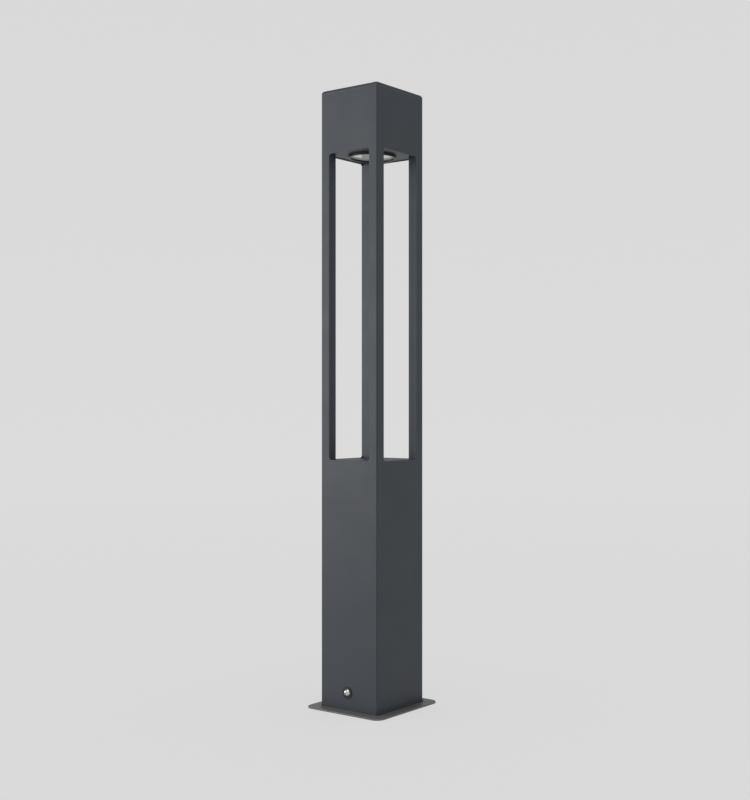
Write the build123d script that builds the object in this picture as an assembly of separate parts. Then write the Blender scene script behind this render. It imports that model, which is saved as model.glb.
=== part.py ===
"""Square bollard light: an extruded column with four corner posts around an open light chamber.

Millimetres, +Z up. The origin is the centre of the base plate's underside, which stands on the ground.
The front face is -Y, and the rear left corner chamber (-X, +Y) carries the lead from the terminal box
up to the head.
"""
import math
import os

from build123d import *

# Driving dimensions
OVERALL_HEIGHT = 800.0
COLUMN_WIDTH = 94.2
POST_WIDTH = 13.5            # corner chambers, which stay as posts where the windows are milled
HEAD_HEIGHT = 82.8
WINDOW_HEIGHT = 395.8
WINDOW_CORNER = 3.5
ARRIS_RADIUS = 2.0
CHAMBER_ARRIS = 0.6          # rounding of the chambers' inward corners
WINDOW_CHAMFER = 0.4
WALL = 2.2
CHAMBER_WALL = 1.8

PLATE_WIDTH = 125.0
PLATE_THICKNESS = 2.0
PLATE_CORNER = 12.0
ANCHOR_SPACING = 54.0
ANCHOR_HOLE = 9.0
CABLE_DIAMETER = 12.0        # largest supply cable

FOOT_GASKET = 1.5
FOOT_GASKET_LIP = 1.0        # how far the gasket stands proud of the column
CAP_THICKNESS = 5.0
CAP_ROUNDING = 4.2           # of the cap's top edges
CAP_RIM = 6.0
PANEL_THICKNESS = 2.5        # ceiling plate and sill plate
CEILING_RECESS = 1.0         # how far the ceiling plate sits above the window heads
SILL_RECESS = 0.3            # and the sill plate below the window sills
SLACK = 0.3                  # clearance of loose panels and tabs inside the profile

SIDE_SCREW_HEIGHT = 24.2
SIDE_SCREW_X = -2.4          # how far they sit off the faces' centre lines
WASHER_THICKNESS = 1.0
WASHER_RADIUS = 7.6
BEZEL_OUTER = 62.4
BEZEL_INNER = 57.6
BEZEL_DROP = 2.6             # how far the lens ring stands below the window heads
LENS_THICKNESS = 3.0
LEAD_DIAMETER = 5.0
EARTH_LEAD_DIAMETER = 2.8
SHANK_PLAY = 0.05            # between a screw's thread and its hole

# Levels and places that follow from them
SILL = OVERALL_HEIGHT - HEAD_HEIGHT - WINDOW_HEIGHT
CEILING = OVERALL_HEIGHT - HEAD_HEIGHT
COLUMN_FOOT = PLATE_THICKNESS + FOOT_GASKET
COLUMN_TOP = OVERALL_HEIGHT - CAP_THICKNESS
OUTER = COLUMN_WIDTH / 2
INNER = OUTER - WALL                         # inside face of the column's walls
CHAMBER_FACE = OUTER - POST_WIDTH            # inward face of the corner chambers
CHAMBER_BORE = POST_WIDTH - WALL - CHAMBER_WALL
CHAMBER_CENTRE = INNER - CHAMBER_BORE / 2
WINDOW_WIDTH = 2 * CHAMBER_FACE
ANCHOR = ANCHOR_SPACING / 2

CEILING_PLATE_LOW = CEILING + CEILING_RECESS
CEILING_PLATE_TOP = CEILING_PLATE_LOW + PANEL_THICKNESS
SILL_PLATE_TOP = SILL - SILL_RECESS
SILL_PLATE_LOW = SILL_PLATE_TOP - PANEL_THICKNESS
SILL_GASKET = 1.5
SILL_GASKET_LOW = SILL_PLATE_LOW - SILL_GASKET

# Slots in the rear chamber's wall, low and high edge of each, where the lead goes in and comes out
LEAD_SLOT_WIDTH = 7.4
LEAD_SLOTS = ((SILL - 59.0, SILL - 25.0), (CEILING + 6.0, CEILING + 27.5))

# Ceiling and sill panels are held at these points, beside each corner chamber
PANEL_SCREW_X = (CHAMBER_FACE + INNER) / 2
PANEL_SCREW_Y = CHAMBER_FACE - 7.0
CLEAT_SHEET = 1.5
CLEAT_DEPTH = 13.0
CLEAT_HEIGHT = 14.0
RIVET_RISE = 8.5             # from a cleat's seat to its rivet

# Light engine, a stack on four studs above the ceiling plate
BEZEL_FLANGE = 2.0
ENGINE_WIDTH = 66.0
ENGINE_LOW = CEILING_PLATE_TOP + BEZEL_FLANGE
POCKET_RADIUS = 26.0
POCKET_DEPTH = 14.2
SINK_BASE = 17.5
FIN_HEIGHT = 16.0
FIN_THICKNESS = 1.8
FIN_COUNT = 11
STUD_OFFSET = 29.0
PILLAR_OFFSET = 27.0
PILLAR_RADIUS = 4.0
PILLAR_TOP = ENGINE_LOW + SINK_BASE + FIN_HEIGHT + 3.0
POCKET_TOP = ENGINE_LOW + POCKET_DEPTH
PAD_THICKNESS = 0.5
BOARD_THICKNESS = 1.6
BOARD_RADIUS = 25.0
BOARD_TOP = POCKET_TOP - PAD_THICKNESS
BOARD_LOW = BOARD_TOP - BOARD_THICKNESS
CHIP_SIZE = 3.0
CHIP_THICKNESS = 0.7
LENS_LOW = CEILING + 0.2
LENS_RADIUS = BEZEL_INNER / 2 + 1.2
LENS_TOP = LENS_LOW + LENS_THICKNESS
BRACKET_SHEET = 1.5
DRIVER_LENGTH = 58.0
DRIVER_WIDTH = 28.0
DRIVER_HEIGHT = 22.0
DRIVER_LOW = PILLAR_TOP + BRACKET_SHEET
DRIVER_TAB = 6.0
DRIVER_SCREW_X = DRIVER_LENGTH / 2 + DRIVER_TAB / 2
LED_LEAD_X = -13.0
LED_CORE_ROWS = (-2.2, 2.2)

# Base compartment
TAB_THICKNESS = 3.0
TAB_WIDTH = 40.0
TAB_HEIGHT = 37.0
TAB_OUTER = INNER - SLACK
TRAY_SHEET = 1.5
TRAY_WIDTH = 60.0
TRAY_FACE = 17.0
TRAY_HEIGHT = 150.0
TRAY_FOOT_WIDTH = 12.0
TRAY_FOOT_FRONT = -6.0
TRAY_SCREW_X = TRAY_WIDTH / 2 - TRAY_FOOT_WIDTH / 2
TRAY_SCREW_Y = 4.0
BOX_WIDTH = 58.0
BOX_LOW = 62.0
BOX_TOP = 142.0
BOX_FRONT = -10.0
BOX_WALL = 2.2
BOX_CORNER = 4.0
BOX_SEAL = 0.8
BOX_HEIGHT = BOX_TOP - BOX_LOW
BOX_MIDDLE = (BOX_LOW + BOX_TOP) / 2
BOX_SCREW_HEIGHTS = (BOX_LOW + 12.0, BOX_TOP - 12.0)
LID_THICKNESS = 6.0
LID_BACK = BOX_FRONT - BOX_SEAL
LID_FRONT = LID_BACK - LID_THICKNESS
LID_SCREW_INSET = 4.5
LID_SCREW_X = BOX_WIDTH / 2 - LID_SCREW_INSET
LID_SCREW_Z = BOX_HEIGHT / 2 - LID_SCREW_INSET
LID_SCREW_SINK = 3.0
GLAND_Y = 3.0                # both glands and the earth entry are in this plane
SUPPLY_THREAD = 8.0          # radius of the supply gland's neck
LEAD_THREAD = 6.0            # radius of the lead gland's neck
LEAD_GLAND_X = -10.0
EARTH_ENTRY = 2.6            # radius of the hole for the earth lead
EARTH_ENTRY_X = 16.0
BLOCK_WIDTH = 42.0
BLOCK_FRONT = -2.2
BLOCK_LOW = 90.0
BLOCK_TOP = 110.0
POLE_PITCH = 14.0
EARTH_STUD_Y = -30.0
EARTH_LUG_X = 8.5
EARTH_LUG_LEVEL = PLATE_THICKNESS + 4.0
EARTH_TONGUE = 0.8


def slab(outline, low, high):
    """A flat outline extruded from one height to another."""
    return extrude(Pos(0, 0, low) * outline, amount=high - low)


def drum(radius, low, high, x=0.0, y=0.0):
    """An upright cylinder between two heights."""
    return Pos(x, y, (low + high) / 2) * Cylinder(radius, high - low)


def block(x_range, y_range, z_range):
    """A box given by its limits along each axis."""
    size = [high - low for low, high in (x_range, y_range, z_range)]
    middle = [(high + low) / 2 for low, high in (x_range, y_range, z_range)]
    return Pos(*middle) * Box(*size)


def four(x, y):
    """The four places mirrored about both middle planes."""
    return [(side * x, end * y) for side in (-1, 1) for end in (-1, 1)]


def group(pieces):
    """Separate solids kept in one node."""
    return Compound(children=list(pieces))


def bay_outline(gap):
    """The hollow of the profile between its walls and corner chambers, drawn in by a gap."""
    half = INNER - gap
    notch = CHAMBER_FACE - gap
    corner = half - notch
    outline = Rectangle(2 * half, 2 * half)
    for x, y in four(notch + corner / 2, notch + corner / 2):
        outline -= Pos(x, y) * Rectangle(corner, corner)
    arrises = [vertex for vertex in outline.vertices()
               if abs(abs(vertex.X) - notch) < 0.01 and abs(abs(vertex.Y) - notch) < 0.01]
    return fillet(arrises, CHAMBER_ARRIS)


def hex_prism(across_flats, low, high, x=0.0, y=0.0):
    """An upright hexagonal prism."""
    outline = RegularPolygon(across_flats / math.sqrt(3), 6)
    return slab(Pos(x, y) * outline, low, high)


def countersunk_screw(thread, length, socket=0.5):
    """A countersunk screw, its flat head at z = 0 and its thread pointing down."""
    radius = thread / 2 - SHANK_PLAY
    head = thread - 0.2
    depth = head - radius
    body = Pos(0, 0, -depth / 2) * Cone(radius, head, depth)
    body += drum(radius, -length, -depth)
    return body - hex_prism(socket * thread, -0.6 * depth, 0.0)


def countersunk_hole(thread, depth):
    """The hole for a countersunk screw, its mouth at z = 0 and its bore pointing down."""
    radius = thread / 2 + SHANK_PLAY
    cone = thread - radius
    return Pos(0, 0, -cone / 2) * Cone(radius, thread, cone) + drum(radius, -depth, -cone)


def pan_screw(thread, length):
    """A pan-head screw, seated at z = 0 with its thread pointing down."""
    head_radius = thread
    head_height = 0.62 * thread
    head = fillet(drum(head_radius, 0, head_height).edges().group_by(Axis.Z)[-1], 0.4 * head_height)
    recess = hex_prism(0.55 * thread, 0.45 * head_height, head_height)
    return head - recess + drum(thread / 2 - SHANK_PLAY, -length, 0)


def rounded_run(points, diameter, name):
    """A round lead: straight runs joined by tangent arcs, each as large as its two runs allow."""
    places = [Vector(*point) for point in points]
    runs = [after - before for before, after in zip(places, places[1:])]
    radii = []
    for first, second in zip(runs, runs[1:]):
        turn = math.radians(first.get_angle(second))
        radii.append(0.45 * min(first.length, second.length) / math.tan(turn / 2))
    path = FilletPolyline(*places, radius=radii)
    section = Plane(origin=places[0], z_dir=runs[0]) * Circle(diameter / 2)
    lead = sweep(section, path=path)
    expected = math.pi * diameter ** 2 / 4 * path.length
    print(name, "radii", [round(radius, 1) for radius in radii], "length", round(path.length, 1),
          "volume ratio", round(lead.volume / expected, 4))
    return lead


# ---- Structure

def make_column():
    outline = RectangleRounded(COLUMN_WIDTH, COLUMN_WIDTH, ARRIS_RADIUS)
    section = outline - bay_outline(0)
    for x, y in four(CHAMBER_CENTRE, CHAMBER_CENTRE):
        section -= Pos(x, y) * RectangleRounded(CHAMBER_BORE, CHAMBER_BORE, 0.8)
    profile = slab(section, COLUMN_FOOT, COLUMN_TOP)
    window = RectangleRounded(WINDOW_WIDTH, WINDOW_HEIGHT, WINDOW_CORNER)
    mouth = RectangleRounded(WINDOW_WIDTH + 2 * WINDOW_CHAMFER, WINDOW_HEIGHT + 2 * WINDOW_CHAMFER,
                             WINDOW_CORNER + WINDOW_CHAMFER)
    middle = (SILL + CEILING) / 2
    for turn in range(4):
        face = Rot(0, 0, 90 * turn) * Pos(0, -OUTER, middle) * Rot(-90, 0, 0)
        profile -= face * extrude(window, amount=2 * WALL)
        profile -= face * extrude(mouth, amount=WINDOW_CHAMFER, taper=45)
    for side in (-1, 1):
        hole = Pos(SIDE_SCREW_X, side * OUTER, SIDE_SCREW_HEIGHT) * Rot(90, 0, 0) * Cylinder(2.75, 4 * WALL)
        profile -= hole
    for low, high in LEAD_SLOTS:
        profile -= slot_through_chamber(low, high, 0.0)
    for x, y, height in rivet_places():
        profile -= Pos(x, y, height) * Rot(90, 0, 0) * Cylinder(1.65, 4 * CHAMBER_WALL)
    return profile


def slot_through_chamber(low, high, inset):
    """The slot in the rear chamber's right-hand wall where the lead passes, drawn in by an inset."""
    outline = RectangleRounded(LEAD_SLOT_WIDTH - 2 * inset, high - low - 2 * inset, 3.0 - inset)
    cutter = extrude(Plane.YZ * outline, amount=2 * CHAMBER_WALL, both=True)
    return Pos(-CHAMBER_FACE - CHAMBER_WALL / 2, CHAMBER_CENTRE, (low + high) / 2) * cutter


def make_top_cap():
    """Cap plate with rounded top edges, over a rim that locates it inside the profile."""
    plate = slab(RectangleRounded(COLUMN_WIDTH, COLUMN_WIDTH, ARRIS_RADIUS), COLUMN_TOP, OVERALL_HEIGHT)
    plate = fillet(plate.edges().group_by(Axis.Z)[-1], CAP_ROUNDING)
    rim = slab(bay_outline(2.4) - Rectangle(2 * CHAMBER_FACE - 8, 2 * CHAMBER_FACE - 8),
               COLUMN_TOP - CAP_RIM, COLUMN_TOP)
    cap = plate + rim
    for x, y in four(CHAMBER_CENTRE, CHAMBER_CENTRE):
        cap -= Pos(x, y, OVERALL_HEIGHT) * countersunk_hole(4, CAP_THICKNESS + 1)
    return cap


def make_cap_gasket():
    return slab(bay_outline(0.2) - bay_outline(2.3), COLUMN_TOP - 3, COLUMN_TOP)


def make_cap_screws():
    screw = countersunk_screw(4, 14)
    return group(Pos(x, y, OVERALL_HEIGHT) * screw for x, y in four(CHAMBER_CENTRE, CHAMBER_CENTRE))


def make_corner_plugs():
    plug = slab(RectangleRounded(CHAMBER_BORE - 0.1, CHAMBER_BORE - 0.1, 0.8), COLUMN_TOP - 14, COLUMN_TOP)
    plug -= drum(2.0, COLUMN_TOP - 15, COLUMN_TOP + 1)
    return group(Pos(x, y, 0) * plug for x, y in four(CHAMBER_CENTRE, CHAMBER_CENTRE))


def make_base_plate():
    plate = slab(RectangleRounded(PLATE_WIDTH, PLATE_WIDTH, PLATE_CORNER), 0, PLATE_THICKNESS)
    plate = fillet(plate.edges().group_by(Axis.Z)[-1], 0.8)
    for x, y in four(ANCHOR, ANCHOR):
        plate -= drum(ANCHOR_HOLE / 2, -1, PLATE_THICKNESS + 1, x, y)
    plate -= drum(13.0, -1, PLATE_THICKNESS + 1)
    for side in (-1, 1):
        plate -= drum(2.0, 0.5, PLATE_THICKNESS + 1, side * TRAY_SCREW_X, TRAY_SCREW_Y)
    return plate


def make_foot_gasket():
    width = COLUMN_WIDTH + 2 * FOOT_GASKET_LIP
    outline = RectangleRounded(width, width, ARRIS_RADIUS + FOOT_GASKET_LIP)
    opening = RectangleRounded(2 * TAB_OUTER, 2 * TAB_OUTER, 1.0)
    ring = slab(outline - opening, PLATE_THICKNESS, COLUMN_FOOT)
    for x, y in four(CHAMBER_CENTRE, CHAMBER_CENTRE):
        ring += slab(Pos(x, y) * Rectangle(CHAMBER_BORE + 3, CHAMBER_BORE + 3), PLATE_THICKNESS, COLUMN_FOOT)
    return ring


def make_base_tabs():
    """Two upstands inside the column, at its front and back, that the side screws pull on."""
    tabs = []
    for side in (-1, 1):
        faces = sorted((side * (TAB_OUTER - TAB_THICKNESS), side * TAB_OUTER))
        tab = block((-TAB_WIDTH / 2, TAB_WIDTH / 2), faces, (PLATE_THICKNESS, PLATE_THICKNESS + TAB_HEIGHT))
        top_corners = tab.edges().filter_by(Axis.Y).group_by(Axis.Z)[-1]
        tab = fillet(top_corners, 6.0)
        hole = Cylinder(2.75, 4 * TAB_THICKNESS)
        tab -= Pos(SIDE_SCREW_X, side * TAB_OUTER, SIDE_SCREW_HEIGHT) * Rot(90, 0, 0) * hole
        tabs.append(tab)
    return group(tabs)


def make_tab_welds():
    leg = 2.5
    beads = []
    for side in (-1, 1):
        root = side * (TAB_OUTER - TAB_THICKNESS)
        outline = make_face(Polyline(
            (root, PLATE_THICKNESS), (root - side * leg, PLATE_THICKNESS),
            (root, PLATE_THICKNESS + leg), close=True))
        beads.append(extrude(Plane.YZ * outline, amount=TAB_WIDTH / 2 - 3, both=True))
    return group(beads)


def make_clinch_nuts():
    nuts = []
    for side in (-1, 1):
        length = 4.5
        middle = side * (TAB_OUTER - TAB_THICKNESS - length / 2)
        nut = Rot(90, 0, 0) * (Cylinder(4.4, length) - Cylinder(2.5, length + 1))
        nuts.append(Pos(SIDE_SCREW_X, middle, SIDE_SCREW_HEIGHT) * nut)
    return group(nuts)


def side_fixing(piece):
    """The same piece on the front and on the back face, its own +Z pointing out of the column."""
    front = Pos(SIDE_SCREW_X, -OUTER, SIDE_SCREW_HEIGHT) * Rot(90, 0, 0) * piece
    back = Pos(SIDE_SCREW_X, OUTER, SIDE_SCREW_HEIGHT) * Rot(-90, 0, 0) * piece
    return group([front, back])


def make_side_washers():
    return side_fixing(drum(WASHER_RADIUS, 0, WASHER_THICKNESS) - drum(2.75, -1, WASHER_THICKNESS + 1))


def make_side_screws():
    """M5 button-head screws with a hexagon socket."""
    head_radius = 4.75
    head_height = 2.75
    crown = (head_radius ** 2 + head_height ** 2) / (2 * head_height)
    ball = Pos(0, 0, WASHER_THICKNESS + head_height - crown) * Sphere(crown)
    head = ball & drum(head_radius, WASHER_THICKNESS, WASHER_THICKNESS + head_height)
    head -= hex_prism(3.0, WASHER_THICKNESS + 1.2, WASHER_THICKNESS + head_height + 1)
    return side_fixing(head + drum(2.45, -11.5, WASHER_THICKNESS))


# ---- Panels that close the head and the base compartment

def panel(low, high, screw_side):
    """A plate across the profile with a countersunk hole beside each corner chamber."""
    plate = slab(bay_outline(SLACK), low, high)
    for x, y in four(PANEL_SCREW_X, PANEL_SCREW_Y):
        mouth = high if screw_side > 0 else low
        turn = Rot(0, 0, 0) if screw_side > 0 else Rot(180, 0, 0)
        plate -= Pos(x, y, mouth) * turn * countersunk_hole(4, PANEL_THICKNESS + 1)
    return plate


def cleat(x, y, seat, up):
    """A folded cleat on the inward face of a corner chamber: a seat for the panel and a riveted leaf."""
    side = math.copysign(1, x)
    end = math.copysign(1, y)
    x_range = sorted((side * (CHAMBER_FACE + 0.5), side * (INNER - SLACK)))
    y_range = sorted((end * (CHAMBER_FACE - CLEAT_DEPTH), end * CHAMBER_FACE))
    leaf_range = sorted((end * (CHAMBER_FACE - CLEAT_SHEET), end * CHAMBER_FACE))
    folded = block(x_range, y_range, sorted((seat, seat + up * CLEAT_SHEET)))
    folded += block(x_range, leaf_range, sorted((seat, seat + up * CLEAT_HEIGHT)))
    folded -= drum(2.0, seat - 3, seat + 3, x, y)
    rivet_y = end * CHAMBER_FACE
    folded -= Pos(x, rivet_y, seat + up * RIVET_RISE) * Rot(90, 0, 0) * Cylinder(1.65, 8)
    return folded


def rivet_places():
    """Centre of every cleat rivet, in the inward faces of the corner chambers."""
    heights = (CEILING_PLATE_TOP + RIVET_RISE, SILL_GASKET_LOW - RIVET_RISE)
    return [(x, y, height) for height in heights for x, y in four(PANEL_SCREW_X, CHAMBER_FACE)]


def make_cleats(seat, up):
    return group(cleat(x, y, seat, up) for x, y in four(PANEL_SCREW_X, PANEL_SCREW_Y))


def make_rivets(height):
    """Blind rivets: a domed head on the cleat and a short tail inside the chamber."""
    rivets = []
    for x, y, level in rivet_places():
        if level != height:
            continue
        outward = 90 if y < 0 else -90
        grip = CLEAT_SHEET + CHAMBER_WALL
        head = drum(3.0, -1.0, 0)
        head = fillet(head.edges().group_by(Axis.Z)[0], 0.7)
        rivet = head + drum(1.6, 0, grip + 1.2)
        seat = y - math.copysign(CLEAT_SHEET, y)
        rivets.append(Pos(x, seat, level) * Rot(outward, 0, 0) * rivet)
    return group(rivets)


def make_panel_screws(level, turn):
    screw = countersunk_screw(4, 12)
    return group(Pos(x, y, level) * turn * screw for x, y in four(PANEL_SCREW_X, PANEL_SCREW_Y))


def make_ceiling_plate():
    plate = panel(CEILING_PLATE_LOW, CEILING_PLATE_TOP, -1)
    plate -= drum(BEZEL_OUTER / 2 + SLACK, CEILING, ENGINE_LOW)
    return plate


def make_sill_gasket():
    frame = bay_outline(SLACK) - Rectangle(2 * CHAMBER_FACE - 3, 2 * CHAMBER_FACE - 3)
    ring = slab(frame, SILL_GASKET_LOW, SILL_PLATE_LOW)
    for x, y in four(PANEL_SCREW_X, PANEL_SCREW_Y):
        ring -= drum(2.3, SILL_PLATE_LOW - 3, SILL, x, y)
    return ring


# ---- Light engine

def make_lens_bezel():
    """A turned ring whose lip carries the glass, under a square flange held by the studs."""
    collar = drum(BEZEL_OUTER / 2, CEILING - BEZEL_DROP, CEILING_PLATE_TOP)
    collar = chamfer(collar.edges().group_by(Axis.Z)[0], 0.5)
    flange = slab(RectangleRounded(ENGINE_WIDTH, ENGINE_WIDTH, 4), CEILING_PLATE_TOP, ENGINE_LOW)
    bezel = collar + flange
    bezel -= drum(BEZEL_INNER / 2, CEILING - BEZEL_DROP - 1, LENS_LOW)
    bezel -= drum(LENS_RADIUS + 0.2, LENS_LOW, ENGINE_LOW + 1)
    for x, y in four(STUD_OFFSET, STUD_OFFSET):
        bezel -= drum(2.2, CEILING, ENGINE_LOW + 1, x, y)
    return bezel


def make_lens_glass():
    glass = drum(LENS_RADIUS, LENS_LOW, LENS_TOP)
    return chamfer(glass.edges(), 0.4)


def make_lens_gasket():
    return drum(LENS_RADIUS, LENS_TOP, ENGINE_LOW) - drum(POCKET_RADIUS, LENS_TOP - 1, ENGINE_LOW + 1)


def make_reflector():
    """A conical cup from the board down to just above the glass."""
    low = LENS_TOP + 0.3
    high = BOARD_LOW - 0.2
    wide = POCKET_RADIUS - 0.6
    narrow = 17.8
    shell = 1.0
    outline = Polyline((wide, low), (narrow, high), (narrow - shell, high), (wide - shell, low), close=True)
    return revolve(Plane.XZ * make_face(outline), Axis.Z)


def make_led_board():
    board = drum(BOARD_RADIUS, BOARD_LOW, BOARD_TOP)
    for x, y in board_screw_places():
        board -= drum(1.7, BOARD_LOW - 1, BOARD_TOP + 1, x, y)
    for y in LED_CORE_ROWS:
        board -= drum(1.1, BOARD_LOW - 1, BOARD_TOP + 1, LED_LEAD_X, y)
    return board


def board_screw_places():
    """Three screws through the board, evenly spaced outside the reflector's mouth."""
    radius = 22.0
    angles = [math.radians(30 + 120 * step) for step in range(3)]
    return [(radius * math.cos(angle), radius * math.sin(angle)) for angle in angles]


def make_led_chips():
    """Two rings of square packages on the underside of the board."""
    chips = []
    for count, radius in ((5, 6.0), (10, 12.0)):
        for step in range(count):
            angle = 360 * (step + 0.5) / count
            chip = Box(CHIP_SIZE, CHIP_SIZE, CHIP_THICKNESS)
            chips.append(Rot(0, 0, angle) * Pos(radius, 0, BOARD_LOW - CHIP_THICKNESS / 2) * chip)
    return group(chips)


def make_thermal_pad():
    pad = drum(BOARD_RADIUS - 0.5, BOARD_TOP, POCKET_TOP)
    for x, y in board_screw_places():
        pad -= drum(1.8, BOARD_TOP - 1, POCKET_TOP + 1, x, y)
    for y in LED_CORE_ROWS:
        pad -= drum(1.3, BOARD_TOP - 1, POCKET_TOP + 1, LED_LEAD_X, y)
    return pad


def make_board_screws():
    screw = Rot(180, 0, 0) * pan_screw(3, 5)
    return group(Pos(x, y, BOARD_LOW) * screw for x, y in board_screw_places())


def make_heat_sink():
    """A square cast block with a round pocket below, parallel fins above and two bracket pillars."""
    base_top = ENGINE_LOW + SINK_BASE
    fin_top = base_top + FIN_HEIGHT
    base = slab(RectangleRounded(ENGINE_WIDTH, ENGINE_WIDTH, 4), ENGINE_LOW, base_top)
    fins = []
    pitch = (ENGINE_WIDTH - 8 - FIN_THICKNESS) / (FIN_COUNT - 1)
    for step in range(FIN_COUNT):
        middle = (step - (FIN_COUNT - 1) / 2) * pitch
        fins.append(block((middle - FIN_THICKNESS / 2, middle + FIN_THICKNESS / 2),
                          (-ENGINE_WIDTH / 2 + 1, ENGINE_WIDTH / 2 - 1), (base_top - 1, fin_top)))
    sink = base
    for fin in fins:
        sink += fin
    for x, y in four(STUD_OFFSET, STUD_OFFSET):
        sink -= drum(5.5, base_top, fin_top + 1, x, y)
        sink -= drum(2.2, ENGINE_LOW - 1, base_top + 1, x, y)
    for side in (-1, 1):
        sink += drum(PILLAR_RADIUS, base_top - 1, PILLAR_TOP, 0, side * PILLAR_OFFSET)
        sink -= drum(2.0, PILLAR_TOP - 12, PILLAR_TOP + 1, 0, side * PILLAR_OFFSET)
    sink -= drum(POCKET_RADIUS, ENGINE_LOW - 1, POCKET_TOP)
    for x, y in board_screw_places():
        sink -= drum(1.5, POCKET_TOP - 1, POCKET_TOP + 3.0, x, y)
    lead_way = RectangleRounded(4.6, 9.0, 2.2)
    sink -= slab(Pos(LED_LEAD_X, 0) * lead_way, POCKET_TOP - 1, fin_top + 1)
    return sink


def make_ceiling_studs():
    """Studs welded to the ceiling plate's top, up through the bezel's flange and the heat sink."""
    top = ENGINE_LOW + SINK_BASE + 6.5
    return group(drum(1.95, CEILING_PLATE_TOP, top, x, y) for x, y in four(STUD_OFFSET, STUD_OFFSET))


def make_stud_nuts():
    low = ENGINE_LOW + SINK_BASE
    nuts = []
    for x, y in four(STUD_OFFSET, STUD_OFFSET):
        washer = drum(4.4, low, low + 0.8, x, y)
        nut = hex_prism(7.0, low + 0.8, low + 4.0, x, y)
        nuts.append(washer + nut - drum(2.0, low - 1, low + 5, x, y))
    return group(nuts)


def make_driver_bracket():
    plate = Rectangle(DRIVER_LENGTH + 2 * DRIVER_TAB + 2, DRIVER_WIDTH)
    plate += Rectangle(16, 2 * PILLAR_OFFSET + 8)
    bracket = slab(plate, PILLAR_TOP, DRIVER_LOW)
    for side in (-1, 1):
        bracket -= drum(2.2, PILLAR_TOP - 1, DRIVER_LOW + 1, 0, side * PILLAR_OFFSET)
        bracket -= drum(1.5, PILLAR_TOP - 1, DRIVER_LOW + 1, side * DRIVER_SCREW_X, 0)
    bracket -= slab(Pos(LED_LEAD_X, 0) * RectangleRounded(4.6, 9.0, 2.2), PILLAR_TOP - 1, DRIVER_LOW + 1)
    return bracket


def make_bracket_screws():
    screw = pan_screw(4, 10)
    return group(Pos(0, side * PILLAR_OFFSET, DRIVER_LOW) * screw for side in (-1, 1))


def make_led_driver():
    """A potted driver with a screw tab at each end."""
    tab_thickness = 2.5
    case = slab(RectangleRounded(DRIVER_LENGTH, DRIVER_WIDTH, 2), DRIVER_LOW, DRIVER_LOW + DRIVER_HEIGHT)
    case = fillet(case.edges().group_by(Axis.Z)[-1], 1.0)
    tabs = Rectangle(DRIVER_LENGTH + 2 * DRIVER_TAB, 14)
    driver = case + slab(tabs, DRIVER_LOW, DRIVER_LOW + tab_thickness)
    for side in (-1, 1):
        driver -= drum(1.6, DRIVER_LOW - 1, DRIVER_LOW + tab_thickness + 1, side * DRIVER_SCREW_X, 0)
    return driver


def make_driver_screws():
    screw = pan_screw(3, 5)
    return group(Pos(side * DRIVER_SCREW_X, 0, DRIVER_LOW + 2.5) * screw for side in (-1, 1))


def make_led_leads():
    """Two insulated cores straight down from the driver to the board."""
    return group(drum(1.0, BOARD_LOW, DRIVER_LOW, LED_LEAD_X, y) for y in LED_CORE_ROWS)


# ---- Base compartment

def make_gear_tray():
    """An upright sheet behind the terminal box, with two feet folded forwards onto the base plate."""
    low = PLATE_THICKNESS
    tray = block((-TRAY_WIDTH / 2, TRAY_WIDTH / 2), (TRAY_FACE, TRAY_FACE + TRAY_SHEET), (low, TRAY_HEIGHT))
    tray = fillet(tray.edges().filter_by(Axis.Y).group_by(Axis.Z)[-1], 5)
    tray -= block((-TRAY_WIDTH / 2 + TRAY_FOOT_WIDTH, TRAY_WIDTH / 2 - TRAY_FOOT_WIDTH),
                  (TRAY_FACE - 1, TRAY_FACE + TRAY_SHEET + 1), (low - 1, low + 22))
    for side in (-1, 1):
        x_range = sorted((side * (TRAY_WIDTH / 2 - TRAY_FOOT_WIDTH), side * TRAY_WIDTH / 2))
        foot = block(x_range, (TRAY_FOOT_FRONT, TRAY_FACE + TRAY_SHEET), (low, low + TRAY_SHEET))
        foot -= drum(2.2, low - 1, low + TRAY_SHEET + 1, side * TRAY_SCREW_X, TRAY_SCREW_Y)
        tray += foot
    for height in BOX_SCREW_HEIGHTS:
        tray -= Pos(0, TRAY_FACE, height) * Rot(90, 0, 0) * Cylinder(2.0, 8)
    return tray


def make_tray_screws():
    low = PLATE_THICKNESS + TRAY_SHEET
    screw = pan_screw(4, TRAY_SHEET + PLATE_THICKNESS - 0.7)
    return group(Pos(side * TRAY_SCREW_X, TRAY_SCREW_Y, low) * screw for side in (-1, 1))


def box_layer(outline, front, back):
    """An outline in the box's front view, given depth from front to back."""
    return Pos(0, back, BOX_MIDDLE) * extrude(Plane.XZ * outline, amount=back - front)


def lid_screw_bores(radius, front, back):
    """Bores at the four lid screws."""
    holes = [Pos(x, z) * Circle(radius) for x, z in four(LID_SCREW_X, LID_SCREW_Z)]
    return [box_layer(hole, front, back) for hole in holes]


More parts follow.
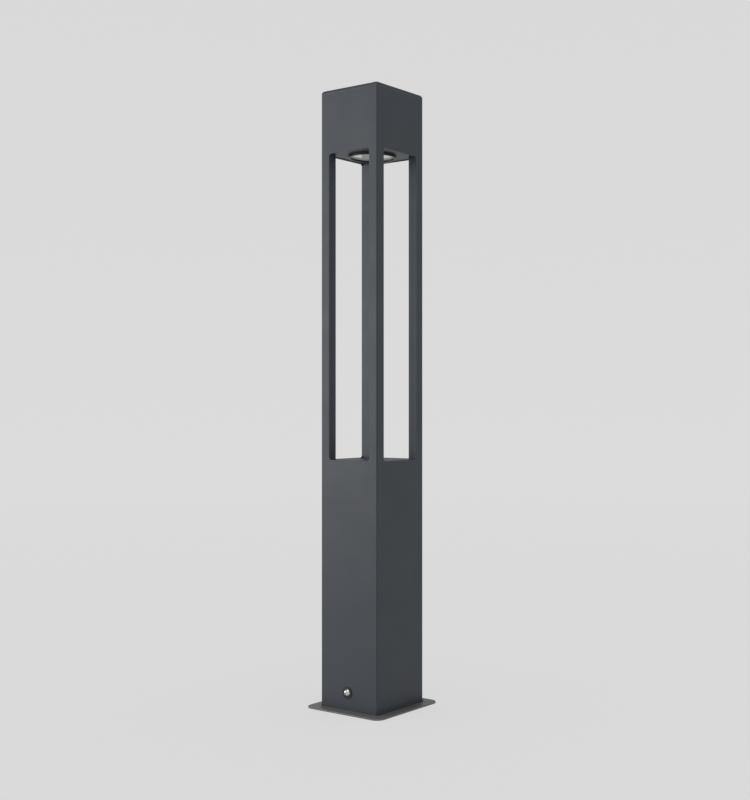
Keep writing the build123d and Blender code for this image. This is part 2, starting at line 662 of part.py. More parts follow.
def make_terminal_box():
    """A moulded box, open to the front, with a boss for each lid screw."""
    outline = RectangleRounded(BOX_WIDTH, BOX_HEIGHT, BOX_CORNER)
    hollow = RectangleRounded(BOX_WIDTH - 2 * BOX_WALL, BOX_HEIGHT - 2 * BOX_WALL, BOX_CORNER - BOX_WALL)
    body = box_layer(outline, BOX_FRONT, TRAY_FACE)
    body -= box_layer(hollow, BOX_FRONT - 1, TRAY_FACE - BOX_WALL)
    for boss in lid_screw_bores(4.0, BOX_FRONT, TRAY_FACE - BOX_WALL):
        body += boss & box_layer(outline, BOX_FRONT, TRAY_FACE)
    for bore in lid_screw_bores(1.5, BOX_FRONT - 1, BOX_FRONT + 9):
        body -= bore
    for height in BOX_SCREW_HEIGHTS:
        body -= Pos(0, TRAY_FACE, height) * Rot(90, 0, 0) * Cylinder(2.2, 3 * BOX_WALL)
    body -= drum(SUPPLY_THREAD, BOX_LOW - 1, BOX_LOW + BOX_WALL + 1, 0, GLAND_Y)
    body -= drum(LEAD_THREAD, BOX_TOP - BOX_WALL - 1, BOX_TOP + 1, LEAD_GLAND_X, GLAND_Y)
    body -= drum(EARTH_ENTRY, BOX_LOW - 1, BOX_LOW + BOX_WALL + 1, EARTH_ENTRY_X, GLAND_Y)
    return body


def make_box_seal():
    outline = RectangleRounded(BOX_WIDTH - 0.8, BOX_HEIGHT - 0.8, BOX_CORNER - 0.4)
    opening = RectangleRounded(BOX_WIDTH - 20, BOX_HEIGHT - 20, BOX_CORNER)
    seal = box_layer(outline - opening, LID_BACK, BOX_FRONT)
    for bore in lid_screw_bores(1.8, LID_BACK - 1, BOX_FRONT + 1):
        seal -= bore
    return seal


def make_box_lid():
    outline = RectangleRounded(BOX_WIDTH, BOX_HEIGHT, BOX_CORNER)
    lid = box_layer(outline, LID_FRONT, LID_BACK)
    lid = fillet(lid.edges().group_by(Axis.Y)[0], 1.5)
    for bore in lid_screw_bores(1.7, LID_FRONT - 1, LID_BACK + 1):
        lid -= bore
    for bore in lid_screw_bores(3.2, LID_FRONT - 1, LID_FRONT + LID_SCREW_SINK):
        lid -= bore
    return lid


def make_lid_screws():
    screw = Rot(90, 0, 0) * pan_screw(3, 11)
    seat = LID_FRONT + LID_SCREW_SINK
    return group(Pos(x, seat, BOX_MIDDLE + z) * screw for x, z in four(LID_SCREW_X, LID_SCREW_Z))


def make_box_screws():
    screw = Rot(90, 0, 0) * pan_screw(4, 8)
    return group(Pos(0, TRAY_FACE - BOX_WALL, height) * screw for height in BOX_SCREW_HEIGHTS)


def make_terminal_block():
    """A three-pole terminal block with a screw well above and below on each pole."""
    block_back = TRAY_FACE - BOX_WALL
    body = block((-BLOCK_WIDTH / 2, BLOCK_WIDTH / 2), (BLOCK_FRONT, block_back), (BLOCK_LOW, BLOCK_TOP))
    for x, z in terminal_places():
        well = Pos(x, BLOCK_FRONT, z) * Rot(90, 0, 0) * Cylinder(2.6, 8)
        body -= well
    for pole in (-0.5, 0.5):
        middle = pole * POLE_PITCH
        body -= block((middle - 0.6, middle + 0.6), (BLOCK_FRONT - 1, BLOCK_FRONT + 3),
                      (BLOCK_LOW - 1, BLOCK_TOP + 1))
    return body


def terminal_places():
    """The six terminal screws, two on each pole."""
    middle = (BLOCK_LOW + BLOCK_TOP) / 2
    return [(pole * POLE_PITCH, middle + end * 5.0) for pole in (-1, 0, 1) for end in (-1, 1)]


def make_terminal_screws():
    screw = Cylinder(2.4, 3.0)
    slot = Pos(0, 0, 1.2) * Box(6, 0.8, 1.0)
    turned = Rot(90, 0, 0) * (screw - slot)
    return group(Pos(x, BLOCK_FRONT + 2.5, z) * turned for x, z in terminal_places())


def gland(bore, thread, flats, seat, up, x):
    """A cable gland: hexagon on the box wall, domed nut outside, threaded neck and lock nut inside."""
    neck = drum(thread - 0.1, -BOX_WALL - 5, 0)
    lock_nut = hex_prism(flats, -BOX_WALL - 3, -BOX_WALL)
    body = hex_prism(flats, 0, 5)
    dome = fillet(hex_prism(flats, 5, 16).edges().group_by(Axis.Z)[-1], 1.5)
    whole = neck + lock_nut + body + dome - drum(bore, -BOX_WALL - 6, 17)
    turn = Rot(0, 0, 0) if up > 0 else Rot(180, 0, 0)
    return Pos(x, GLAND_Y, seat) * turn * whole


def make_cable_grommet():
    """A rubber bush in the base plate's centre hole, its flange on top."""
    grommet = drum(12.9, 0.3, PLATE_THICKNESS) + drum(16.0, PLATE_THICKNESS, PLATE_THICKNESS + 2.5)
    return grommet - drum(CABLE_DIAMETER / 2 + 0.25, -1, PLATE_THICKNESS + 4)


def make_earth_stud():
    return drum(2.95, PLATE_THICKNESS, PLATE_THICKNESS + 16, 0, EARTH_STUD_Y)


def make_earth_hardware():
    """Lock nut and washer under the lug, and washer and nut on top of it."""
    low = PLATE_THICKNESS
    stack = hex_prism(10.0, low, low + 3.2, 0, EARTH_STUD_Y)
    stack += drum(5.8, low + 3.2, EARTH_LUG_LEVEL, 0, EARTH_STUD_Y)
    top = EARTH_LUG_LEVEL + EARTH_TONGUE
    upper = drum(5.8, top, top + 0.8, 0, EARTH_STUD_Y)
    upper += hex_prism(10.0, top + 0.8, top + 5.2, 0, EARTH_STUD_Y)
    bore = drum(3.0, low - 1, top + 6, 0, EARTH_STUD_Y)
    return group([stack - bore, upper - bore])


def make_earth_lug():
    """A ring tongue with its crimp barrel turned up."""
    level = EARTH_LUG_LEVEL
    top = level + EARTH_TONGUE
    tongue = drum(5.5, level, top, 0, EARTH_STUD_Y)
    tongue += block((0, EARTH_LUG_X + 2.1), (EARTH_STUD_Y - 2.1, EARTH_STUD_Y + 2.1), (level, top))
    barrel = drum(2.1, level, level + 8, EARTH_LUG_X, EARTH_STUD_Y)
    lug = tongue + barrel - drum(3.1, level - 1, level + 9, 0, EARTH_STUD_Y)
    return lug - drum(EARTH_LEAD_DIAMETER / 2, top, level + 9, EARTH_LUG_X, EARTH_STUD_Y)


def make_earth_lead():
    """From the terminal block down through the box floor to the lug."""
    start = (EARTH_ENTRY_X, GLAND_Y, BLOCK_LOW)
    end = (EARTH_LUG_X, EARTH_STUD_Y, EARTH_LUG_LEVEL + EARTH_TONGUE)
    route = [start, (EARTH_ENTRY_X, GLAND_Y, 50), (13, -14, 42), (EARTH_LUG_X, EARTH_STUD_Y, 24), end]
    return rounded_run(route, EARTH_LEAD_DIAMETER, "earth_lead")


def make_earth_grommet():
    inner = EARTH_LEAD_DIAMETER / 2
    sleeve = drum(EARTH_ENTRY - 0.05, BOX_LOW, BOX_LOW + BOX_WALL, EARTH_ENTRY_X, GLAND_Y)
    flange = drum(4.0, BOX_LOW - 1.5, BOX_LOW, EARTH_ENTRY_X, GLAND_Y)
    return sleeve + flange - drum(inner, BOX_LOW - 3, BOX_LOW + 4, EARTH_ENTRY_X, GLAND_Y)


def make_head_lead():
    """From the terminal block through its gland, up the rear corner post and into the driver's side."""
    chamber = (-CHAMBER_CENTRE, CHAMBER_CENTRE)
    driver_level = DRIVER_LOW + 13
    route = [
        (LEAD_GLAND_X, GLAND_Y, BLOCK_TOP),
        (LEAD_GLAND_X, GLAND_Y, 172),
        (-14, 22, 214),
        (-25, CHAMBER_CENTRE, 250),
        (*chamber, 292),
        (*chamber, CEILING + 8),
        (-29, CHAMBER_CENTRE, CEILING + 28),
        (-25.5, CHAMBER_CENTRE, CEILING + 41.5),
        (-24.2, CHAMBER_CENTRE - 5.5, CEILING + 51),
        (-23.6, DRIVER_WIDTH / 2 + 11, driver_level),
        (-23.6, DRIVER_WIDTH / 2, driver_level),
    ]
    return rounded_run(route, LEAD_DIAMETER, "head_lead")


def make_lead_grommets():
    """Rubber edging in the two slots of the rear chamber, proud of the wall on both sides."""
    rings = []
    for low, high in LEAD_SLOTS:
        sleeve = slot_through_chamber(low, high, 0.05) - slot_through_chamber(low, high, 0.9)
        wall_only = block((-CHAMBER_FACE - CHAMBER_WALL - 0.6, -CHAMBER_FACE + 0.6),
                          (CHAMBER_CENTRE - 6, CHAMBER_CENTRE + 6), (low - 1, high + 1))
        rings.append(sleeve & wall_only)
    return group(rings)


PARTS = {
    "column": make_column,
    "top_cap": make_top_cap,
    "cap_gasket": make_cap_gasket,
    "cap_screws": make_cap_screws,
    "corner_plugs": make_corner_plugs,
    "base_plate": make_base_plate,
    "foot_gasket": make_foot_gasket,
    "base_tabs": make_base_tabs,
    "tab_welds": make_tab_welds,
    "clinch_nuts": make_clinch_nuts,
    "side_washers": make_side_washers,
    "side_screws": make_side_screws,
    "ceiling_plate": make_ceiling_plate,
    "ceiling_cleats": lambda: make_cleats(CEILING_PLATE_TOP, 1),
    "ceiling_rivets": lambda: make_rivets(CEILING_PLATE_TOP + RIVET_RISE),
    "ceiling_screws": lambda: make_panel_screws(CEILING_PLATE_LOW, Rot(180, 0, 0)),
    "lens_bezel": make_lens_bezel,
    "lens_glass": make_lens_glass,
    "lens_gasket": make_lens_gasket,
    "reflector": make_reflector,
    "led_board": make_led_board,
    "led_chips": make_led_chips,
    "thermal_pad": make_thermal_pad,
    "board_screws": make_board_screws,
    "heat_sink": make_heat_sink,
    "ceiling_studs": make_ceiling_studs,
    "stud_nuts": make_stud_nuts,
    "driver_bracket": make_driver_bracket,
    "bracket_screws": make_bracket_screws,
    "led_driver": make_led_driver,
    "driver_screws": make_driver_screws,
    "led_leads": make_led_leads,
    "sill_plate": lambda: panel(SILL_PLATE_LOW, SILL_PLATE_TOP, 1),
    "sill_gasket": make_sill_gasket,
    "sill_cleats": lambda: make_cleats(SILL_GASKET_LOW, -1),
    "sill_rivets": lambda: make_rivets(SILL_GASKET_LOW - RIVET_RISE),
    "sill_screws": lambda: make_panel_screws(SILL_PLATE_TOP, Rot(0, 0, 0)),
    "gear_tray": make_gear_tray,
    "tray_screws": make_tray_screws,
    "terminal_box": make_terminal_box,
    "box_seal": make_box_seal,
    "box_lid": make_box_lid,
    "lid_screws": make_lid_screws,
    "box_screws": make_box_screws,
    "terminal_block": make_terminal_block,
    "terminal_screws": make_terminal_screws,
    "supply_gland": lambda: gland(CABLE_DIAMETER / 2, SUPPLY_THREAD, 20.0, BOX_LOW, -1, 0.0),
    "lead_gland": lambda: gland(LEAD_DIAMETER / 2, LEAD_THREAD, 15.0, BOX_TOP, 1, LEAD_GLAND_X),
    "cable_grommet": make_cable_grommet,
    "earth_stud": make_earth_stud,
    "earth_hardware": make_earth_hardware,
    "earth_lug": make_earth_lug,
    "earth_lead": make_earth_lead,
    "earth_grommet": make_earth_grommet,
    "head_lead": make_head_lead,
    "lead_grommets": make_lead_grommets,
}

os.makedirs("parts", exist_ok=True)
for node, make in PARTS.items():
    export_step(make(), f"parts/{node}.step")
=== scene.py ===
"""Looks of the square bollard light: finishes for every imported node, soft studio light and the camera.

Metres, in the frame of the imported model. Finishes are procedural and take their place from object
coordinates, which are the model's own, because every node's mesh lies where it belongs.
"""
import math

import bpy
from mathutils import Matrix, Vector


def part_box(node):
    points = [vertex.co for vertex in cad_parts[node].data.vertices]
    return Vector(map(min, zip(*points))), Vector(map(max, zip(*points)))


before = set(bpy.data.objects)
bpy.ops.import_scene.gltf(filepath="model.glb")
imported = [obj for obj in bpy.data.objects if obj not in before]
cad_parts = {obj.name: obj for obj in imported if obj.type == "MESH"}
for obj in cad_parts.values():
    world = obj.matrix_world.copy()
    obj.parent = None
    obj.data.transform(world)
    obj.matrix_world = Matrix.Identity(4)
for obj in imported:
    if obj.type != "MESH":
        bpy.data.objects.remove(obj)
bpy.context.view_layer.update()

MILLIMETRE = 0.001
MICROMETRE = 1e-6

# The bollard's main places, read from the frame
COLUMN_LOW, COLUMN_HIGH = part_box("column")
WIDTH = COLUMN_HIGH.x - COLUMN_LOW.x
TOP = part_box("top_cap")[1].z
CENTRE = Vector((0.0, 0.0, TOP / 2))

# Camera: level, turned towards the near corner and standing to the right of it, so the view is shifted
CAMERA_TURN = math.radians(35.44)
CAMERA_DISTANCE = 16.583 * WIDTH
CAMERA_HEIGHT = 4.182 * WIDTH
CAMERA_SIDESTEP = 1.221 * WIDTH
CAMERA_LENS = 55.98
CAMERA_SHIFT_X = -0.1172
CAMERA_SHIFT_Y = 0.0047

# Stage
WALL_GLOW = 0.556            # radiance that the wall gives by itself
FLOOR_GLOW = 0.586           # and the floor, which catches less light from round about
STAGE_ALBEDO = 0.25
FLOOR_RADIUS = 4.0
FLOOR_GAP = 0.2 * MILLIMETRE  # under the base plate, so the two don't share one plane
RIM_RADIUS = 1.6
WALL_HEIGHT = 2.9
CEILING_GREY = 0.40          # radiance of what is above the wall


class Finish:
    """One material in the making: adds nodes and hands back their outputs."""

    def __init__(self, name, constants):
        self.material = bpy.data.materials.new(name)
        self.material.use_nodes = True
        self.tree = self.material.node_tree
        self.shader = self.tree.nodes["Principled BSDF"]
        for socket, value in constants.items():
            self.shader.inputs[socket].default_value = value
        self.coordinates = self.node("TexCoord").outputs["Object"]

    def node(self, kind, inputs=(), **settings):
        made = self.tree.nodes.new("ShaderNode" + kind)
        for key, value in settings.items():
            setattr(made, key, value)
        for key, value in dict(inputs).items():
            if isinstance(value, bpy.types.NodeSocket):
                self.tree.links.new(value, made.inputs[key])
            else:
                made.inputs[key].default_value = value
        return made

    def drive(self, socket, output):
        self.tree.links.new(output, self.shader.inputs[socket])

    def stretched(self, x, y, z):
        """Coordinates scaled per axis, for grain that runs one way."""
        return self.node("Mapping", {"Vector": self.coordinates, "Scale": (x, y, z)}).outputs[0]

    def noise(self, size, detail=2.0, vector=None, offset=0.0):
        """Smooth noise from 0 to 1 with features of about this size."""
        place = vector or self.coordinates
        if offset:
            place = self.node("Mapping", {"Vector": place, "Location": (offset,) * 3}).outputs[0]
        return self.node("TexNoise", {"Vector": place, "Scale": 1.0 / size, "Detail": detail}).outputs[0]

    def remap(self, value, low, high, to_low=0.0, to_high=1.0):
        inputs = {"Value": value, "From Min": low, "From Max": high, "To Min": to_low, "To Max": to_high}
        return self.node("MapRange", inputs).outputs[0]

    def calculate(self, operation, first, second=0.0):
        made = self.node("Math", {0: first, 1: second}, operation=operation)
        return made.outputs[0]

    def blend(self, share, first, second):
        """A colour between two, by a share from 0 to 1."""
        made = self.node("Mix", data_type="RGBA")
        sockets = {socket.identifier: socket for socket in made.inputs}
        for identifier, value in (("Factor_Float", share), ("A_Color", first), ("B_Color", second)):
            if isinstance(value, bpy.types.NodeSocket):
                self.tree.links.new(value, sockets[identifier])
            else:
                sockets[identifier].default_value = value if identifier == "Factor_Float" else (*value, 1.0)
        return next(socket for socket in made.outputs if socket.identifier == "Result_Color")

    def convex_edges(self, reach):
        """1 on a sharp outer edge, falling to 0 a reach away from it."""
        made = self.node("AmbientOcclusion", {"Distance": reach}, samples=6, inside=True)
        return self.remap(made.outputs["AO"], 0.97, 0.62)

    def hollows(self, reach):
        """1 deep in a corner between two surfaces, 0 in the open."""
        made = self.node("AmbientOcclusion", {"Distance": reach}, samples=6)
        return self.remap(made.outputs["AO"], 0.95, 0.45)

    def grain(self, layers):
        """Bump in layers of (height, depth), the depth in metres."""
        normal = None
        for height, depth in layers:
            inputs = {"Height": height, "Distance": depth, "Strength": 1.0}
            if normal:
                inputs["Normal"] = normal
            normal = self.node("Bump", inputs).outputs[0]
        self.drive("Normal", normal)


def tint(colour, factor):
    return tuple(channel * factor for channel in colour)


def powder_coat(name, colour, gloss, edge_lightening_share=0.55, edge_tone_factor=2.1):
    """Baked powder paint: orange peel, fine grit, and a thinner, glossier film along the edges.

    Along the edges it turns lighter, up to a share of a tone that is a factor times the colour, both given as
    arguments: partly edge wear, partly a painted highlight. In the corners between surfaces it is darkened as
    painted shade.
    """
    finish = Finish(name, {"Specular IOR Level": 0.5})
    drift = finish.noise(90 * MILLIMETRE, 3.0)
    speck = finish.noise(0.45 * MILLIMETRE, 2.0)
    body = finish.blend(finish.remap(drift, 0.3, 0.7), tint(colour, 0.95), tint(colour, 1.06))
    grit = finish.remap(speck, 0.60, 0.72)
    body = finish.blend(finish.calculate("MULTIPLY", grit, 0.35), body, tint(colour, 1.5))
    # Lighter edges: partly edge wear and partly a painted highlight where the edges catch light
    edges = finish.convex_edges(1.3 * MILLIMETRE)
    ragged = finish.remap(finish.noise(3.0 * MILLIMETRE, 3.0), 0.25, 0.75, 0.45, 1.0)
    wear_and_edge_highlight = finish.calculate("MULTIPLY", edges, ragged)
    body = finish.blend(finish.calculate("MULTIPLY", wear_and_edge_highlight, edge_lightening_share), body, tint(colour, edge_tone_factor))
    # Painted shade: the colour darkens in corners and hollows between surfaces
    corner_shade = finish.calculate("MULTIPLY", finish.hollows(5 * MILLIMETRE), 0.25)
    body = finish.blend(corner_shade, body, tint(colour, 0.55))
    finish.drive("Base Color", body)
    cloud = finish.remap(finish.noise(40 * MILLIMETRE, 4.0, offset=3.0), 0.3, 0.7, gloss - 0.03, gloss + 0.04)
    finish.drive("Roughness", finish.calculate("SUBTRACT", cloud, finish.calculate("MULTIPLY", wear_and_edge_highlight, 0.08)))
    peel = finish.noise(1.6 * MILLIMETRE, 1.0, offset=7.0)
    finish.grain([(peel, 14 * MICROMETRE), (speck, 6 * MICROMETRE)])
    return finish.material


def polished_stainless():
    """Turned and polished stainless steel with hairline scratches and a faint haze."""
    finish = Finish("polished_stainless", {"Metallic": 1.0})
    haze = finish.noise(2.0 * MILLIMETRE, 3.0)
    finish.drive("Base Color", finish.blend(haze, (0.56, 0.56, 0.55), (0.70, 0.70, 0.69)))
    hairline = finish.noise(1.0 * MILLIMETRE, 2.0, finish.stretched(1.0, 9.0, 14.0))
    finish.drive("Roughness", finish.remap(hairline, 0.3, 0.7, 0.10, 0.24))
    finish.grain([(hairline, 1.5 * MICROMETRE)])
    return finish.material


def zinc_plate():
    """Bright zinc plating on pressed steel: faint blue cast, patchy crystals and drawn lines."""
    finish = Finish("zinc_plate", {"Metallic": 1.0})
    crystals = finish.node("TexVoronoi", {"Vector": finish.coordinates, "Scale": 400.0}).outputs["Color"]
    patch = finish.node("SeparateColor", {0: crystals}).outputs[0]
    body = finish.blend(patch, (0.50, 0.52, 0.56), (0.60, 0.61, 0.63))
    tarnish = finish.remap(finish.noise(12 * MILLIMETRE, 4.0), 0.5, 0.75, 0.0, 0.5)
    finish.drive("Base Color", finish.blend(tarnish, body, (0.46, 0.46, 0.44)))
    drawn = finish.noise(0.8 * MILLIMETRE, 3.0, finish.stretched(1.0, 1.0, 0.06))
    finish.drive("Roughness", finish.remap(drawn, 0.25, 0.75, 0.28, 0.46))
    finish.grain([(drawn, 5 * MICROMETRE)])
    return finish.material


def milled_aluminium():
    """Bare aluminium: extrusion lines up the part, a matte skin and brighter edges."""
    finish = Finish("milled_aluminium", {"Metallic": 1.0})
    lines = finish.noise(0.5 * MILLIMETRE, 3.0, finish.stretched(1.0, 1.0, 0.03))
    body = finish.blend(finish.noise(14 * MILLIMETRE, 3.0), (0.62, 0.63, 0.65), (0.74, 0.75, 0.76))
    finish.drive("Base Color", finish.blend(finish.convex_edges(0.6 * MILLIMETRE), body, (0.86, 0.86, 0.87)))
    finish.drive("Roughness", finish.remap(lines, 0.25, 0.75, 0.34, 0.52))
    finish.grain([(lines, 8 * MICROMETRE)])
    return finish.material


def moulded(name, colour, gloss, texture_size=0.5, texture_depth=10, **constants):
    """A moulded plastic or rubber with a spark-eroded texture, a slightly uneven skin and a painted sheen
    along its edges.
    """
    sockets = {key.replace("_", " "): value for key, value in constants.items()}
    finish = Finish(name, sockets)
    flow = finish.noise(22 * MILLIMETRE, 3.0)
    body = finish.blend(finish.remap(flow, 0.3, 0.7), tint(colour, 0.90), tint(colour, 1.05))
    # Painted sheen: the colour turns lighter along sharp outer edges
    edge_sheen = finish.calculate("MULTIPLY", finish.convex_edges(0.5 * MILLIMETRE), 0.4)
    finish.drive("Base Color", finish.blend(edge_sheen, body, tint(colour, 1.35)))
    spark = finish.noise(texture_size * MILLIMETRE, 3.0, offset=5.0)
    finish.drive("Roughness", finish.remap(spark, 0.3, 0.7, gloss - 0.06, gloss + 0.06))
    finish.grain([(spark, texture_depth * MICROMETRE)])
    return finish.material


def frosted_lens():
    """Toughened glass with a frosted inner face: milky, faintly green, with a soft sheen."""
    constants = {
        "IOR": 1.52,
        "Transmission Weight": 0.22,
        "Coat Weight": 1.0,
        "Coat Roughness": 0.06,
    }
    finish = Finish("frosted_lens", constants)
    frost = finish.noise(0.35 * MILLIMETRE, 2.0)
    finish.drive("Base Color", finish.blend(frost, (0.68, 0.745, 0.735), (0.765, 0.825, 0.815)))
    finish.drive("Roughness", finish.remap(frost, 0.3, 0.7, 0.38, 0.55))
    finish.grain([(frost, 6 * MICROMETRE)])
    return finish.material


def led_phosphor():
    """Yellow phosphor domes with their grain of crystals in silicone."""
    finish = Finish("led_phosphor", {"Coat Weight": 0.6, "Coat Roughness": 0.12})
    crystals = finish.noise(0.12 * MILLIMETRE, 2.0)
    finish.drive("Base Color", finish.blend(crystals, (0.78, 0.58, 0.10), (0.92, 0.78, 0.30)))
    finish.drive("Roughness", finish.remap(crystals, 0.3, 0.7, 0.35, 0.55))
    finish.grain([(crystals, 8 * MICROMETRE)])
    return finish.material


def circuit_board():
    """White solder mask over copper rings, which stand a little proud of the laminate."""
    finish = Finish("circuit_board", {"Coat Weight": 0.3, "Coat Roughness": 0.2})
    split = finish.node("SeparateXYZ", {0: finish.coordinates})
    square = [finish.calculate("POWER", split.outputs[axis], 2.0) for axis in (0, 1)]
    radius = finish.calculate("SQRT", finish.calculate("ADD", *square))
    ripple = finish.calculate("SINE", finish.calculate("MULTIPLY", radius, 2 * math.pi / (6 * MILLIMETRE)))
    copper = finish.remap(ripple, 0.35, 0.5)
    finish.drive("Base Color", finish.blend(copper, (0.84, 0.84, 0.82), (0.76, 0.74, 0.68)))
    weave = finish.noise(0.4 * MILLIMETRE, 1.0)
    finish.drive("Roughness", finish.remap(weave, 0.3, 0.7, 0.30, 0.44))
    finish.grain([(copper, 35 * MICROMETRE), (weave, 3 * MICROMETRE)])
    return finish.material


def striped_sheath(name, first, second, across, turns):
    """Two-colour insulation: bands that wind round the core, with a satin skin."""
    finish = Finish(name, {"Specular IOR Level": 0.45})
    split = finish.node("SeparateXYZ", {0: finish.coordinates})
    climb = finish.calculate("MULTIPLY", split.outputs[2], 0.35)
    slope = finish.calculate("ADD", split.outputs[across], climb)
    wave = finish.calculate("SINE", finish.calculate("MULTIPLY", slope, turns))
    body = finish.blend(finish.remap(wave, -0.1, 0.1), first, second)
    finish.drive("Base Color", body)
    skin = finish.noise(0.6 * MILLIMETRE, 3.0)
    finish.drive("Roughness", finish.remap(skin, 0.3, 0.7, 0.36, 0.50))
    finish.grain([(skin, 6 * MICROMETRE)])
    return finish.material


def soft_metal(name, dark, light, gloss):
    """Plated or turned metal for contacts and studs, with lathe lines round it."""
    finish = Finish(name, {"Metallic": 1.0})
    lathe = finish.noise(0.4 * MILLIMETRE, 2.0, finish.stretched(0.2, 0.2, 1.6))
    finish.drive("Base Color", finish.blend(finish.noise(3 * MILLIMETRE, 3.0), dark, light))
    finish.drive("Roughness", finish.remap(lathe, 0.3, 0.7, gloss - 0.07, gloss + 0.08))
    finish.grain([(lathe, 4 * MICROMETRE)])
    return finish.material


ANTHRACITE = (0.0225, 0.0292, 0.0388)
FINISHES = {
    "anthracite_paint": powder_coat("anthracite_powder", ANTHRACITE, 0.50),
    "black_paint": powder_coat("black_powder", (0.0085, 0.0088, 0.009), 0.42),
    "stainless_steel": polished_stainless(),
    "zinc_steel": zinc_plate(),
    "bare_aluminium": milled_aluminium(),
    "black_rubber": moulded("black_rubber", (0.012, 0.012, 0.0125), 0.66, 0.35, 14),
    "silicone": moulded("silicone", (0.62, 0.63, 0.62), 0.46, 0.8, 6, Subsurface_Weight=0.3,
                        Subsurface_Scale=0.002),
    "lens_glass": frosted_lens(),
    "reflector_white": moulded("reflector_white", (0.80, 0.81, 0.81), 0.30, 0.7, 3),
    "board_white": circuit_board(),
    "led_phosphor": led_phosphor(),
    "pad_grey": moulded("thermal_pad", (0.36, 0.40, 0.46), 0.72, 0.4, 16),
    "driver_case": moulded("driver_case", (0.045, 0.045, 0.048), 0.52, 0.45, 14),
    "box_grey": moulded("box_grey", (0.44, 0.45, 0.45), 0.48, 0.6, 14),
    "terminal_white": moulded("terminal_white", (0.72, 0.71, 0.66), 0.40, 0.8, 5,
                              Subsurface_Weight=0.25, Subsurface_Scale=0.0015),
    "gland_black": moulded("gland_black", (0.020, 0.020, 0.021), 0.44, 0.5, 10),
    "brass": soft_metal("brass", (0.58, 0.41, 0.17), (0.74, 0.56, 0.27), 0.30),
    "tinned_copper": soft_metal("tinned_copper", (0.60, 0.59, 0.57), (0.72, 0.71, 0.68), 0.34),
    "black_sheath": moulded("black_sheath", (0.016, 0.016, 0.017), 0.50, 0.9, 12),
    "led_core": striped_sheath("led_core", (0.42, 0.015, 0.015), (0.012, 0.012, 0.013), 1, 1.0),
    "earth_sheath": striped_sheath("earth_sheath", (0.03, 0.24, 0.05), (0.72, 0.62, 0.03), 1, 2600.0),
}


def dress_nodes():
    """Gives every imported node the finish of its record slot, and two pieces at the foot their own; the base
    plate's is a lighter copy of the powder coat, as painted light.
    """
    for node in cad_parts.values():
        for place in node.material_slots:
            place.material = FINISHES[place.material.name.split(".")[0]]
    own = {
        # Painted light: the base plate's powder coat is a lighter, more neutral copy, standing in for bounce
        # light from the bright floor
        "base_plate": powder_coat("plate_powder_painted_bounce", (0.108, 0.109, 0.107), 0.46, edge_tone_factor=1.7),
        "foot_gasket": moulded("foot_rubber", (0.034, 0.035, 0.036), 0.66, 0.35, 14),
    }
    for name, material in own.items():
        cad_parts[name].material_slots[0].material = material


def stage_material():
    """A pale sweep that glows softly, takes soft shadows, and can be looked through from outside."""
    material = bpy.data.materials.new("pale_sweep")
    material.use_nodes = True
    tree = material.node_tree
    tree.nodes.clear()
    kinds = ("OutputMaterial", "MixShader", "AddShader", "BsdfDiffuse", "Emission", "BsdfTransparent",
             "NewGeometry", "SeparateXYZ", "MapRange")
    output, mix, add, diffuse, glow, clear, geometry, split, rise = (
        tree.nodes.new("ShaderNode" + kind) for kind in kinds)
    diffuse.inputs["Color"].default_value = (STAGE_ALBEDO,) * 3 + (1.0,)
    rise.inputs["To Min"].default_value = WALL_GLOW
    rise.inputs["To Max"].default_value = FLOOR_GLOW
    link = tree.links.new
    link(geometry.outputs["Normal"], split.inputs[0])
    link(split.outputs["Z"], rise.inputs["Value"])
    link(rise.outputs[0], glow.inputs["Strength"])
    link(diffuse.outputs[0], add.inputs[0])
    link(glow.outputs[0], add.inputs[1])
    link(geometry.outputs["Backfacing"], mix.inputs[0])
    link(add.outputs[0], mix.inputs[1])
    link(clear.outputs[0], mix.inputs[2])
    link(mix.outputs[0], output.inputs["Surface"])
    return material


def make_stage():
    """A round floor whose rim sweeps up into a wall, seen from inside, under a dim open top."""
    steps, around = 14, 96
    profile = [(0.0, 0.0), (FLOOR_RADIUS, 0.0)]
    for step in range(1, steps + 1):
        turn = math.pi / 2 * step / steps
        profile.append((FLOOR_RADIUS + RIM_RADIUS * math.sin(turn), RIM_RADIUS * (1 - math.cos(turn))))
    profile.append((FLOOR_RADIUS + RIM_RADIUS, WALL_HEIGHT))
    verts = [(0.0, 0.0, 0.0)]
    for radius, height in profile[1:]:
        for spoke in range(around):
            turn = 2 * math.pi * spoke / around
            verts.append((radius * math.cos(turn), radius * math.sin(turn), height))
    faces = [(0, 1 + spoke, 1 + (spoke + 1) % around) for spoke in range(around)]
    for ring in range(len(profile) - 2):
        low, high = 1 + ring * around, 1 + (ring + 1) * around
        for spoke in range(around):
            after = (spoke + 1) % around
            faces.append((low + spoke, high + spoke, high + after, low + after))
    mesh = bpy.data.meshes.new("sweep")
    mesh.from_pydata(verts, [], faces)
    mesh.shade_smooth()
    mesh.materials.append(stage_material())
    sweep = bpy.data.objects.new("sweep", mesh)
    sweep.location.z = -FLOOR_GAP
    bpy.context.scene.collection.objects.link(sweep)


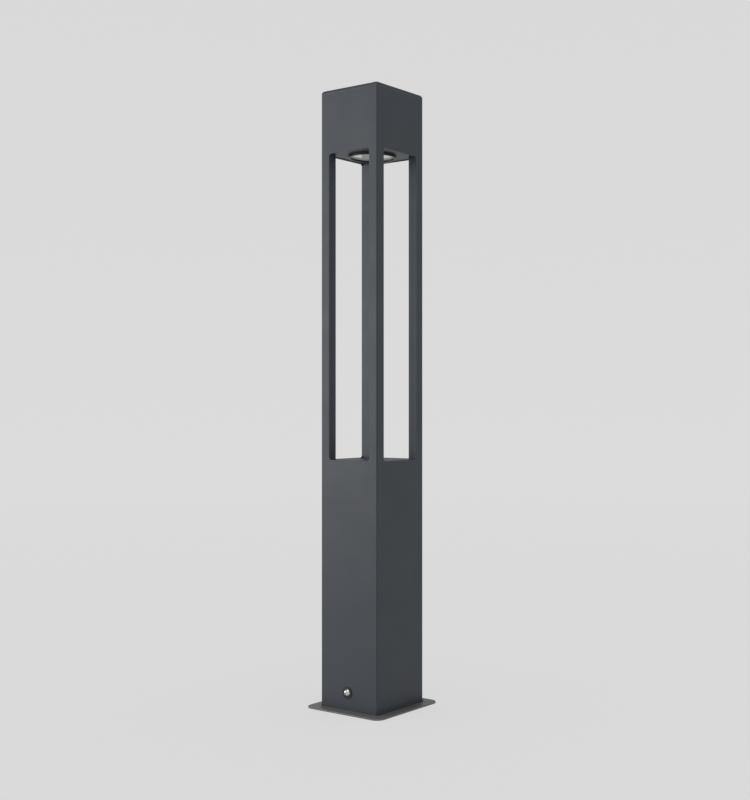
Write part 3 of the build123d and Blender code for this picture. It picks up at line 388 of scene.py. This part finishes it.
def around_centre(azimuth, elevation, distance):
    """A point round the bollard: azimuth 0 is in front of -Y, 90 in front of +X."""
    turn, rise = math.radians(azimuth), math.radians(elevation)
    direction = Vector((math.sin(turn) * math.cos(rise), -math.cos(turn) * math.cos(rise), math.sin(rise)))
    return CENTRE + direction * distance


def softbox(name, azimuth, elevation, distance, size, power, lit):
    """A large area light that faces the bollard, isn't itself seen and leaves the stage alone."""
    light = bpy.data.lights.new(name, "AREA")
    light.shape = "RECTANGLE"
    light.size, light.size_y = size
    light.energy = power
    lamp = bpy.data.objects.new(name, light)
    lamp.location = around_centre(azimuth, elevation, distance)
    lamp.rotation_euler = (CENTRE - lamp.location).to_track_quat("-Z", "Y").to_euler()
    lamp.visible_camera = False
    lamp.light_linking.receiver_collection = lit
    bpy.context.scene.collection.objects.link(lamp)


def make_lights():
    world = bpy.data.worlds.new("studio")
    world.use_nodes = True
    world.node_tree.nodes["Background"].inputs["Color"].default_value = (CEILING_GREY,) * 3 + (1.0,)
    bpy.context.scene.world = world
    bollard = bpy.data.collections.new("bollard")
    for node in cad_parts.values():
        bollard.objects.link(node)
    softbox("key", -54, -7, 2.4, (1.6, 2.6), 48, bollard)
    softbox("top", 20, 62, 2.2, (2.4, 2.4), 21, bollard)


def make_camera():
    """Level, at about the middle of the column's height, looking past its near corner."""
    lens = bpy.data.cameras.new("camera")
    lens.lens = CAMERA_LENS
    lens.shift_x, lens.shift_y = CAMERA_SHIFT_X, CAMERA_SHIFT_Y
    lens.clip_start, lens.clip_end = 0.05, 50.0
    camera = bpy.data.objects.new("camera", lens)
    right = Vector((math.cos(CAMERA_TURN), math.sin(CAMERA_TURN), 0.0))
    forward = Vector((-math.sin(CAMERA_TURN), math.cos(CAMERA_TURN), 0.0))
    corner = Vector((COLUMN_HIGH.x, COLUMN_LOW.y, CAMERA_HEIGHT))
    camera.location = corner + right * CAMERA_SIDESTEP - forward * CAMERA_DISTANCE
    camera.rotation_euler = (math.pi / 2, 0.0, CAMERA_TURN)
    bpy.context.scene.collection.objects.link(camera)
    bpy.context.scene.camera = camera


dress_nodes()
make_stage()
make_lights()
make_camera()
bpy.context.scene.view_settings.view_transform = "Standard"
